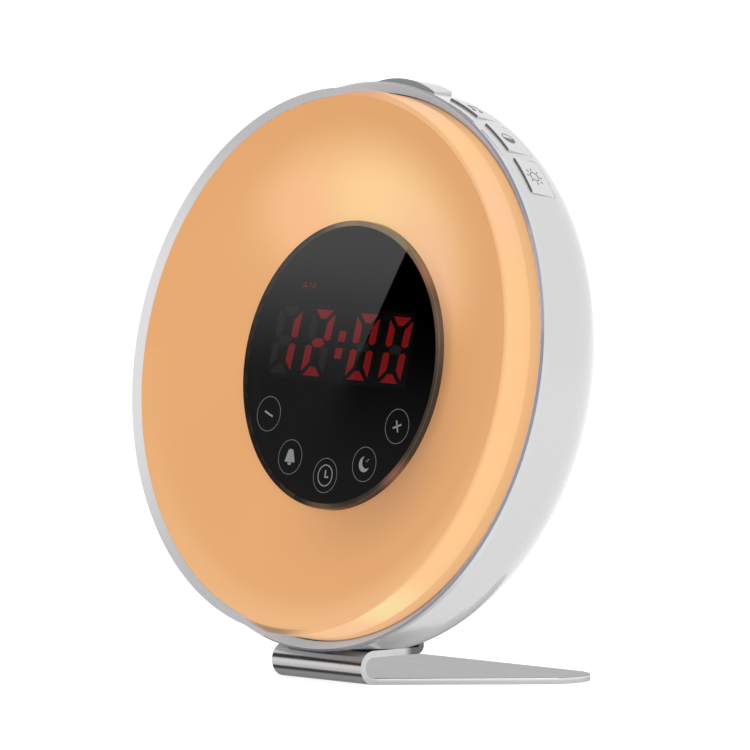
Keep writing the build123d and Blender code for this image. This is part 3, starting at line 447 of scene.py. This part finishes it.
def window_finish():
    """Smoked clear window: it lets the digits through and is near black elsewhere. Its polished rim has a
    painted glow for a little of the diffuser's light, in tones laid over each other by angle, width and
    flat middle."""
    finish, shader, t = new_finish("smoked_window")
    where = t.use(FACE_PLACE)
    grains = t.use(MOULDED_GRAIN, Scale=400.0, Patch_Scale=60.0)
    inner_edge = WINDOW_RADIUS - WINDOW_RIM
    rim = t.step(where["Radius"], inner_edge - 0.1, inner_edge + 0.1)
    clear_x = t.lobe(where["Across"], CLEAR_MIDDLE[0], CLEAR_HALF[0] + 0.5, CLEAR_HALF[0] - 0.5)
    clear_y = t.lobe(where["Up"], CLEAR_MIDDLE[1], CLEAR_HALF[1] + 0.5, CLEAR_HALF[1] - 0.5)
    # Tones of the rim's painted glow, laid over each other.
    tone = linear(8, 6, 3)
    for centre, width, flat, colour in (
        (0.0, 150.0, 0.0, (60, 50, 40)),
        (22.0, 30.0, 0.0, (98, 76, 64)),
        (75.0, 42.0, 22.0, (112, 97, 76)),
        (44.0, 15.0, 0.0, (138, 98, 72)),
        (-46.0, 12.0, 0.0, (118, 78, 62)),
        (-90.0, 13.0, 0.0, (82, 66, 48)),
    ):
        tone = t.mix(t.lobe(where["Angle"], centre, width, flat), tone, linear(*colour))
    set_shader(
        t,
        shader,
        Base_Color=t.mix(t.times(clear_x, clear_y), (0.003, 0.003, 0.003), (0.05, 0.048, 0.048)),
        Emission_Color=t.mix(rim, BLACK, tone),
        Emission_Strength=1.0,
        Roughness=ranged(t, grains["Patches"], 0.004, 0.012),
        Transmission_Weight=1.0,
        IOR=1.49,
    )
    return finish


def segment_finish(name, body, glow, strength):
    """Small light source with a slightly uneven tone; the unlit segments use it for a faint painted glow.
    """
    finish, shader, t = new_finish(name)
    grains = t.use(MOULDED_GRAIN, Scale=500.0, Patch_Scale=300.0)
    set_shader(
        t,
        shader,
        Base_Color=t.mix(grains["Patches"], shaded(body, 0.9), body),
        Emission_Color=t.mix(grains["Patches"], shaded(glow, 0.92), glow),
        Emission_Strength=strength,
        Roughness=ranged(t, grains["Height"], 0.5, 0.6),
    )
    return finish


def module_finish():
    """Dull black body behind the digits, which shows no gloss through the window."""
    finish = plastic("module_black", (0.003, 0.003, 0.003), 0.8)
    set_specular(finish.node_tree.nodes["Principled BSDF"], 0.0)
    return finish


def key_finish(name, front, top_level, wall_level):
    """Glossy white key whose wall towards the face, at front, is in shade."""
    finish, shader, t = new_finish(name)
    where = t.use(FACE_PLACE)
    grains = t.use(MOULDED_GRAIN, Scale=700.0)
    white, dark = (top_level,) * 3, (wall_level,) * 3
    top = t.mix(grains["Patches"], shaded(white, 0.97), white)
    set_shader(
        t,
        shader,
        Base_Color=t.mix(t.step(where["Forward"], front - 0.06, front - 0.02), top, dark),
        Roughness=ranged(t, grains["Patches"], 0.26, 0.32),
        Coat_Weight=0.2,
        Coat_Roughness=0.1,
    )
    add_bump(t, shader, grains["Height"], 0.15)
    return finish


def steel_grey(level):
    return (level, level, level + 0.005)


def stand_finish():
    """Polished and finely brushed strip: a plate painted darker than the brighter fold as painted shade, a
    painted highlight line along the edge of the plate, and cut edges of the arm with painted shade that
    darkens towards its end. X, y and z are the clock's, in millimetres."""
    finish, shader, t = new_finish("brushed_stand")
    lines = t.use(BRUSHED_LINES, Fineness=6000.0)
    x, y, z = t.parts(t.place((1000, 1000, 1000)))
    streaks = ranged(t, lines["Streaks"], 0.0, 1.0)
    fold = t.mix(streaks, steel_grey(0.51), steel_grey(0.57))
    # Painted shade: the plate is darker than the fold, though they are one sheet.
    shaded_plate = t.mix(streaks, steel_grey(0.33), steel_grey(0.36))
    on_plate = t.times(t.step(z, 2.3, 2.1), t.step(y, -31.5, -29.5))
    # Painted highlight line along the plate's edge, fainter lower down.
    edge = t.times(on_plate, t.step(z, 1.92, 1.78))
    edge_highlight = t.mix(t.step(z, 1.6, 1.0), steel_grey(0.70), steel_grey(0.50))
    cut = t.times(t.step(t.math("ABSOLUTE", x), 19.9, 19.98), t.step(z, 2.1, 2.3))
    # Painted shade on the arm's cut edges towards its end.
    cut_shade = t.mix(t.step(y, -19.0, -15.5), steel_grey(0.56), steel_grey(0.13))
    colour = t.mix(on_plate, fold, shaded_plate)
    colour = t.mix(edge, colour, edge_highlight)
    set_shader(
        t,
        shader,
        Base_Color=t.mix(cut, colour, cut_shade),
        Roughness=ranged(t, lines["Streaks"], 0.14, 0.2),
        Metallic=1.0,
        Specular_Tint=steel_grey(0.61),
    )
    add_bump(t, shader, lines["Height"], 0.2)
    return finish


def printed(name, colour):
    """Thin print with a slightly worn, uneven tone."""
    finish, shader, t = new_finish(name)
    grains = t.use(MOULDED_GRAIN, Scale=1500.0, Patch_Scale=400.0)
    tone = t.mix(grains["Patches"], shaded(colour, 0.85), colour)
    set_shader(t, shader, Base_Color=tone, Roughness=ranged(t, grains["Height"], 0.5, 0.65))
    return finish


# ---- Printed marks -------------------------------------------------------------------------------
def face_points(across, up, forward):
    """Points of the face frame as points of the clock's, in metres: its centre plus each measure along its
    axis."""
    sin, cos = math.sin(LEAN), math.cos(LEAN)
    x0, y0, z0 = FACE_CENTRE
    across, up, forward = np.broadcast_arrays(across, up, forward)
    y, z = y0 + sin * up - cos * forward, z0 + cos * up + sin * forward
    return np.stack((x0 + across, y, z), -1) / 1000.0


def band_grid(inner, outer):
    """Closed thin band between two matching lines of points (n, 2): rows are inner and outer on the lower
    face, then outer and inner on the upper face. Returns (n, 4, 3) of across, up and level 0 or 1."""
    rows = [(inner, 0.0), (outer, 0.0), (outer, 1.0), (inner, 1.0)]
    return np.stack([np.column_stack((line, np.full(len(line), level))) for line, level in rows], 1)


def grid_faces(count, rows, closed, start):
    """Quads of a grid wrapped round its rows, and round its length where closed, or with flat ends."""
    i = np.arange(count if closed else count - 1)[:, None]
    j = np.arange(rows)[None, :]
    here, ahead, side = i * rows, (i + 1) % count * rows, (j + 1) % rows
    quads = np.stack((here + j, ahead + j, ahead + side, here + side), -1).reshape(-1, 4)
    if not closed:
        last = (count - 1) * rows
        ends = np.array([[3, 2, 1, 0], [last, last + 1, last + 2, last + 3]])
        quads = np.concatenate((quads, ends))
    return quads + start


def arc_points(radii, angles):
    """Points of an arc about 0, with a radius along x and one along y."""
    return np.column_stack((radii[0] * np.cos(angles), radii[1] * np.sin(angles)))


def ring_band(centre, radius, width, count=64):
    """Round line: inner and outer circles, radius half a width either side."""
    centre, half = np.array(centre), width / 2
    unit = arc_points((1.0, 1.0), np.linspace(0, 2 * math.pi, count, endpoint=False))
    return centre + (radius - half) * unit, centre + (radius + half) * unit, True


def stroke_band(start, end, width):
    """Straight line of a width between two points."""
    a, b = np.array(start, float), np.array(end, float)
    along = (b - a) / np.linalg.norm(b - a)
    side = np.array((-along[1], along[0])) * width / 2
    line = a + (b - a) * np.linspace(0, 1, 4)[:, None]
    return line - side, line + side, False


def filled_band(left, right):
    """Filled shape between two matching lines of points."""
    return left, right, False


def outward(piece):
    """Point every face of closed bands outwards."""
    work = bmesh.new()
    work.from_mesh(piece.data)
    bmesh.ops.recalc_face_normals(work, faces=work.faces)
    work.to_mesh(piece.data)
    work.free()


def mark_mesh(name, bands, place, finish, body):
    """One piece from several bands; place turns (across, up, level) into metres in the clock's frame."""
    points, faces, start = [], [], 0
    for inner, outer, closed in bands:
        grid = band_grid(inner, outer)
        points.append(place(grid.reshape(-1, 3)))
        faces.append(grid_faces(len(grid), 4, closed, start))
        start += grid.shape[0] * 4
    mesh = bpy.data.meshes.new(name)
    mesh.from_pydata(np.concatenate(points).tolist(), [], np.concatenate(faces).tolist())
    mesh.update()
    piece = bpy.data.objects.new(name, mesh)
    bpy.context.scene.collection.objects.link(piece)
    outward(piece)
    mesh.materials.append(finish)
    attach(piece, body)


def turned(bands, degrees, centre):
    """Bands turned about 0 and moved to a centre."""
    a = math.radians(degrees)
    turn = np.array(((math.cos(a), math.sin(a)), (-math.sin(a), math.cos(a))))
    return [(inner @ turn + centre, outer @ turn + centre, closed) for inner, outer, closed in bands]


def bell_bands():
    """Bell: its half width is a round top that runs on as a straight flare; a half round clapper below."""
    height, flare, top, shoulder = 3.95, 1.27, 2.45, 0.8
    down = np.linspace(0.0, height, 28)
    bow = np.sqrt(np.clip(1 - (1 - np.clip(down / shoulder, 0, 1)) ** 2, 0, 1))
    half = 0.95 * bow + flare * down / height + 0.02
    clapper = (0.0, -1.68) + arc_points((0.85, -0.75), np.linspace(0, math.pi, 12))
    return [
        filled_band(np.column_stack((-half, top - down)), np.column_stack((half, top - down))),
        filled_band(clapper[:6], clapper[:5:-1]),
    ]


def moon_bands():
    """Crescent between two round arcs that share their ends, the inner one shifted, turned to open upwards
    to the right, and two specks in its opening."""
    radius, end, shift = 2.35, math.radians(58), 1.2
    tip_x, tip_y = radius * math.cos(end), radius * math.sin(end)
    inner_radius = math.hypot(tip_x - shift, tip_y)
    inner_end = math.atan2(tip_y, tip_x - shift)
    outer = arc_points((radius, radius), np.linspace(end, 2 * math.pi - end, 40))
    inner_angles = np.linspace(inner_end, 2 * math.pi - inner_end, 40)
    inner = (shift, 0.0) + arc_points((inner_radius, inner_radius), inner_angles)
    specks = [stroke_band((0.7 + s, 0.9 + s), (1.3 + s, 1.0 + s), 0.28) for s in (0.0, 0.55)]
    return turned([filled_band(inner, outer)], 37, np.zeros(2)) + specks


def touch_bands():
    """A ring at each touch place and its sign: minus, bell, clock, moon, plus. The outer two are turned."""
    clock = [
        ring_band((0, 0), 3.12, 0.32),
        stroke_band((0.0, 1.65), (0.0, -0.45), 0.5),
        stroke_band((-0.25, -0.45), (1.4, -0.45), 0.5),
    ]
    signs = [
        (-21, [stroke_band((-2.0, 0), (2.0, 0), 0.55)]),
        (0, bell_bands()),
        (0, clock),
        (0, moon_bands()),
        (19, [stroke_band((-1.9, 0), (1.9, 0), 0.52), stroke_band((0, -1.85), (0, 1.85), 0.52)]),
    ]
    rings, icons = [], []
    for degrees, (turn, sign) in zip(TOUCH_ANGLES, signs):
        a = math.radians(degrees)
        centre = TOUCH_RADIUS * np.array((math.cos(a), math.sin(a)))
        rings.append(ring_band(centre, 5.17, 0.2, count=96))
        icons += turned(sign, turn, centre)
    return rings, icons


def am_bands():
    """The two letters beside the hour, from straight strokes, in units of a letter's width and height."""
    height, width, line, slant = 2.45, 2.2, 0.28, math.tan(math.radians(7))
    letter_a = [((0, 0), (0.5, 1)), ((0.5, 1), (1, 0)), ((0.22, 0.36), (0.78, 0.36))]
    letter_m = [((0, 0), (0, 1)), ((0, 1), (0.5, 0.25)), ((0.5, 0.25), (1, 1)), ((1, 1), (1, 0))]
    bands = []
    for left, letter in ((-2.8, letter_a), (0.6, letter_m)):
        for stroke in letter:
            start, end = ((left + width * x + slant * height * y, height * y) for x, y in stroke)
            bands.append(stroke_band(start, end, line))
    return turned(bands, 0, np.array(AM_PLACE))


def sun_bands():
    """Ring with eight short rays."""
    rays = []
    for a in np.arange(8) * math.pi / 4:
        unit = np.array((math.cos(a), math.sin(a)))
        rays.append(stroke_band(2.3 * unit, 3.25 * unit, 0.32))
    return [ring_band((0, 0), 1.65, 0.26, count=48)] + rays


def half_bands():
    """Ring whose lower half is filled."""
    radius = 2.2
    x = np.linspace(-radius, radius, 24)
    reach = np.sqrt(np.clip(radius**2 - x**2, 0, None))
    return [
        ring_band((0, 0), 2.28, 0.26, count=48),
        filled_band(np.column_stack((x, -reach)), np.column_stack((x, np.zeros(24)))),
    ]


def note_bands():
    """Two small note heads with stems and a beam."""
    bands = []
    for side in (-1.4, 1.4):
        a = np.linspace(math.pi / 2, 3 * math.pi / 2, 12)
        head = (side - 0.5, -1.8)
        bands.append(filled_band(head + arc_points((0.78, 0.6), a), head + arc_points((-0.78, 0.6), a)))
        bands.append(stroke_band((side, -1.65), (side, 2.1), 0.3))
    return bands + [stroke_band((-1.55, 2.1), (1.55, 2.1), 0.65)]


def on_window(points):
    """Marks lie on the window's front."""
    level = WINDOW_FACE + WINDOW_PRINT_GAP + PRINT * points[:, 2]
    return face_points(points[:, 0], points[:, 1], level)


def on_key(angle):
    """Marks lie on a key's sloping top: x runs back along the axis, y runs round the shell."""
    def place(points):
        back, round_shell, level = points.T
        forward = KEY_MARK - back
        slope = KEY_LIFT / (KEY_FRONT - KEY_FLUSH)
        top = SHELL_RADIUS + slope * (forward - KEY_FLUSH)
        a = math.radians(angle) + round_shell / top
        radius = top + KEY_PRINT_GAP + PRINT * level
        return face_points(radius * np.cos(a), radius * np.sin(a), forward)
    return place


# ---- Camera, lamps and surroundings --------------------------------------------------------------
def set_camera():
    """Long lens from the clock's right and slightly above."""
    right = Vector((math.cos(VIEW_TURN), math.sin(VIEW_TURN), 0.0))
    ahead = Vector((-math.sin(VIEW_TURN), math.cos(VIEW_TURN), 0.0))
    back = Vector((0.0, 0.0, math.sin(VIEW_LIFT))) - ahead * math.cos(VIEW_LIFT)
    up = back.cross(right)
    target = Vector(FACE_CENTRE) / 1000 + right * AIM_SHIFT[0] + up * AIM_SHIFT[1]
    camera = bpy.data.cameras.new("camera")
    camera.lens = camera.sensor_width * CAMERA_DISTANCE / VIEW_WIDTH
    camera.clip_end = 100.0
    seat = bpy.data.objects.new("camera", camera)
    axes = Matrix((right, up, back)).transposed().to_4x4()
    seat.matrix_world = Matrix.Translation(target + back * CAMERA_DISTANCE) @ axes
    bpy.context.scene.collection.objects.link(seat)
    bpy.context.scene.camera = seat


def add_lamp(name, spot, size, power):
    """Soft square lamp that looks at the clock's middle."""
    lamp = bpy.data.lights.new(name, "AREA")
    lamp.size = size
    lamp.energy = power
    seat = bpy.data.objects.new(name, lamp)
    seat.location = spot
    aim = Vector(LAMP_AIM) - Vector(spot)
    seat.rotation_euler = aim.to_track_quat("-Z", "Y").to_euler()
    bpy.context.scene.collection.objects.link(seat)


def add_plane(name, corners, finish):
    """Flat four-cornered stage piece."""
    mesh = bpy.data.meshes.new(name)
    mesh.from_pydata([tuple(c) for c in corners], [], [(0, 1, 2, 3)])
    mesh.update()
    mesh.materials.append(finish)
    piece = bpy.data.objects.new(name, mesh)
    bpy.context.scene.collection.objects.link(piece)
    piece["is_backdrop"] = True
    return piece


def seen_directly(tree):
    """1 for rays from the camera or off gloss or through glass, which see the backdrop itself."""
    rays = tree.node("ShaderNodeLightPath").outputs
    return tree.highest(rays["Is Camera Ray"], rays["Is Glossy Ray"], rays["Is Transmission Ray"])


def set_world():
    """White room: full white where it is seen directly, a little less as light."""
    world = bpy.data.worlds.new("white_room")
    world.use_nodes = True
    bpy.context.scene.world = world
    t = Tree(world.node_tree)
    light = world.node_tree.nodes["Background"]
    t.put(light.inputs["Color"], (1.0, 1.0, 1.0))
    t.put(light.inputs["Strength"], t.math("MULTIPLY_ADD", seen_directly(t), 0.26, 0.74))


def add_floor():
    """White floor that keeps the clock's shadow. It glows a little, most where the camera sees it."""
    finish, shader, t = new_finish("white_floor")
    seen = t.math("MULTIPLY_ADD", seen_directly(t), 0.25, 0.25)
    camera = t.node("ShaderNodeLightPath").outputs["Is Camera Ray"]
    set_shader(
        t,
        shader,
        Base_Color=(0.82, 0.82, 0.82),
        Roughness=0.9,
        Emission_Color=(1.0, 1.0, 1.0),
        Emission_Strength=t.math("MULTIPLY_ADD", camera, 0.2, seen),
    )
    set_specular(shader, 0.0)
    signs = ((-1, -1), (1, -1), (1, 1), (-1, 1))
    add_plane("floor", [(x * FLOOR_REACH, y * FLOOR_REACH, 0) for x, y in signs], finish)


def card_light(name):
    """A material that only sends out light, its Tree, and the socket of its strength."""
    finish = bpy.data.materials.new(name)
    finish.use_nodes = True
    tree = finish.node_tree
    tree.nodes.remove(tree.nodes["Principled BSDF"])
    t = Tree(tree)
    light = t.node("ShaderNodeEmission")
    t.put(tree.nodes["Material Output"].inputs["Surface"], light.outputs[0])
    return finish, t, light.inputs["Strength"]


def glossy_only(card):
    card.visible_camera = False
    card.visible_diffuse = False
    card.visible_transmission = False
    card.visible_shadow = False


def add_window_card():
    """Card that the window mirrors: bright above, fading downwards. To the right of a slanting edge it is
    black above and rises to the same low level below. Each point is laid out by where the window mirrors
    it."""
    side, rise = -1.1228, 0.0564     # how far the mirrored view runs across and up for each forward
    forward, half = 180.0, 56.0      # the card's distance from the face, and half its size
    slant, edge_start = 0.4434, 5.95
    low = 0.2
    finish, t, strength = card_light("window_card")
    where = t.use(FACE_PLACE)
    depth = t.less(where["Forward"], WINDOW_FACE)
    across = t.math("MULTIPLY_ADD", depth, -side, where["Across"])
    up = t.math("MULTIPLY_ADD", depth, -rise, where["Up"])
    edge = t.less(across, t.math("MULTIPLY_ADD", up, slant, edge_start))
    softness = t.math("MULTIPLY_ADD", t.step(up, 8.0, -24.0), 16.0, 0.3)
    on_left = t.step(t.math("DIVIDE", edge, softness), 1.0, -1.0)
    left = t.math("MULTIPLY_ADD", t.step(up, -8.0, 42.0), 0.96, low)
    right = t.times(t.step(up, 18.0, -44.0), low)
    level = t.math("ADD", t.times(left, on_left), t.times(right, t.less(1.0, on_left)))
    t.put(strength, level)
    centre = np.array((side, rise)) * (forward - WINDOW_FACE)
    corners = np.array(((-half, -half), (half, -half), (half, half), (-half, half))) + centre
    glossy_only(add_plane("window_card", face_points(corners[:, 0], corners[:, 1], forward), finish))


def add_fold_cards():
    """Two cards seen only in gloss. One lies on the floor, dark just before the fold and dim under it; the
    other is a dark strip standing before the fold. They give the bands along the fold."""
    lying, t, strength = card_light("fold_floor_card")
    _, y, _ = t.parts(t.place((1000, 1000, 1000)))
    t.put(strength, t.math("MULTIPLY_ADD", t.step(y, -36.8, -36.0), 0.37, 0.08))
    left, right, near, far, height = -0.045, 0.02, -0.0396, -0.027, 0.0004
    corners = [(left, near, height), (right, near, height), (right, far, height), (left, far, height)]
    glossy_only(add_plane("fold_floor_card", corners, lying))
    standing, shader, t = new_finish("fold_dark_card")
    set_shader(t, shader, Base_Color=(0.08, 0.08, 0.08))
    set_specular(shader, 0.0)
    left, right, low, high, away = -0.1, 0.005, 0.0125, 0.034, -0.071
    corners = [(left, away, low), (right, away, low), (right, away, high), (left, away, high)]
    glossy_only(add_plane("fold_dark_card", corners, standing))


set_camera()
set_world()
add_floor()
add_window_card()
add_fold_cards()
add_lamp("key_lamp", (1.2, -0.6, 1.3), 1.2, 6.0)

# ---- Finishes of the clock's own parts -----------------------------------------------------------
inner_black = (0.012, 0.012, 0.013)
inner_white = plastic("inner_white", (0.7, 0.7, 0.68), 0.5)
board_green = plastic("board_green", (0.02, 0.13, 0.05), 0.35, grain=1500.0)
plated = metal("plated_metal", (0.78, 0.75, 0.68), 0.25)
steel = metal("screw_steel", (0.5, 0.5, 0.51), 0.32)
lead_red = plastic("lead_red", (0.45, 0.02, 0.02), 0.45)
finishes = {
    "stand": stand_finish(),
    # The black rubber pad also stands for the shade in the gap under the housing.
    "stand_pad": plastic("black_pad", (0.01, 0.01, 0.01), 0.8, grain=1800.0, depth=0.00006),
    "stand_screws": steel,
    "rear_shell": shell_finish(),
    "diffuser": glow_finish(),
    "crest_ring": crest_finish(),
    "light_pan": inner_white,
    "display_window": window_finish(),
    "touch_board": plastic("touch_board_black", inner_black, 0.6),
    "touch_springs": plastic("touch_spring_dark", (0.02, 0.02, 0.02), 0.5),
    "display_cup": plastic("inner_black", inner_black, 0.5),
    "digit_module": module_finish(),
    "lit_segments": segment_finish("lit_red", (0.1, 0.01, 0.01), (1.0, 0.02, 0.03), 3.3),
    # The unlit segments get a faint painted grey glow.
    "dark_segments": segment_finish("unlit_grey_painted_glow", (0.12, 0.12, 0.12), (0.5, 0.5, 0.52), 0.33),
    "lamp_board": plastic("board_white", (0.75, 0.75, 0.73), 0.4, grain=1500.0),
    "lamp_leds": segment_finish("warm_led", (0.8, 0.6, 0.2), (1.0, 0.75, 0.35), 0.4),
    "reflector_film": plastic("film_white", (0.85, 0.85, 0.84), 0.3),
    "main_board": board_green,
    "display_ribbon": plastic("ribbon_grey", (0.45, 0.45, 0.44), 0.5),
    "display_connector": plastic("connector_cream", (0.6, 0.56, 0.45), 0.5),
    "board_chips": plastic("chip_black", (0.015, 0.015, 0.016), 0.55),
    "capacitors": metal("cap_aluminium", (0.7, 0.7, 0.71), 0.35),
    "wire_sockets": plastic("socket_white", (0.7, 0.69, 0.64), 0.5),
    "board_screws": steel,
    "diffuser_screws": steel,
    "shell_screws": steel,
    "key_board": board_green,
    "key_switches": plastic("switch_black", (0.02, 0.02, 0.02), 0.5),
    "snooze_board": board_green,
    "snooze_switch": plastic("switch_black_2", (0.02, 0.02, 0.02), 0.5),
    "speaker_frame": metal("basket_steel", (0.35, 0.35, 0.36), 0.4),
    "speaker_cone": plastic("cone_paper", (0.03, 0.03, 0.03), 0.8, grain=2500.0, depth=0.0001),
    "speaker_magnet": metal("magnet_grey", (0.22, 0.22, 0.23), 0.5),
    "power_jack": plastic("jack_black", (0.012, 0.012, 0.012), 0.45),
    "jack_pin": plated,
    "speaker_leads": lead_red,
    "battery_leads": lead_red,
    "jack_leads": lead_red,
    "battery_tray": inner_white,
    "battery_cells": metal("cell_jacket", (0.3, 0.32, 0.36), 0.35),
    "battery_contacts": plated,
    "battery_door": plastic(
        "door_white", (0.78, 0.78, 0.78), 0.3, grain=700.0, depth=0.00002, shade=0.03, coat=0.3
    ),
    "snooze_bar": key_finish("snooze_white", SNOOZE_FRONT, 0.72, 0.27),
}
for name in KEY_ANGLES:
    finishes[name] = key_finish(name + "_white", KEY_FRONT, 0.77, 0.15)
for name, finish in finishes.items():
    piece = nodes[name]
    if not piece.material_slots:
        piece.data.materials.append(finish)
    for slot in piece.material_slots:
        slot.material = finish

rings, icons = touch_bands()
mark_grey = printed("mark_grey", linear(143, 143, 143))
ring_grey = printed("ring_grey", linear(105, 105, 105))
mark_mesh("touch_rings", rings, on_window, ring_grey, "housing")
mark_mesh("touch_icons", icons, on_window, mark_grey, "housing")
am_red = printed("am_red", (0.16, 0.03, 0.03))
mark_mesh("am_letters", am_bands(), on_window, am_red, "housing")
key_grey = printed("key_mark_grey", linear(120, 120, 120))
for name, bands in (("sound_key", note_bands()), ("dimmer_key", half_bands()), ("light_key", sun_bands())):
    mark_mesh(name.replace("_key", "_mark"), bands, on_key(KEY_ANGLES[name]), key_grey, name)

bpy.context.scene.view_settings.view_transform = "Standard"
corners = {"cad": cad_box, "visual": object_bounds()}
{name: [list(map(float, c)) for c in box] for name, box in corners.items()}
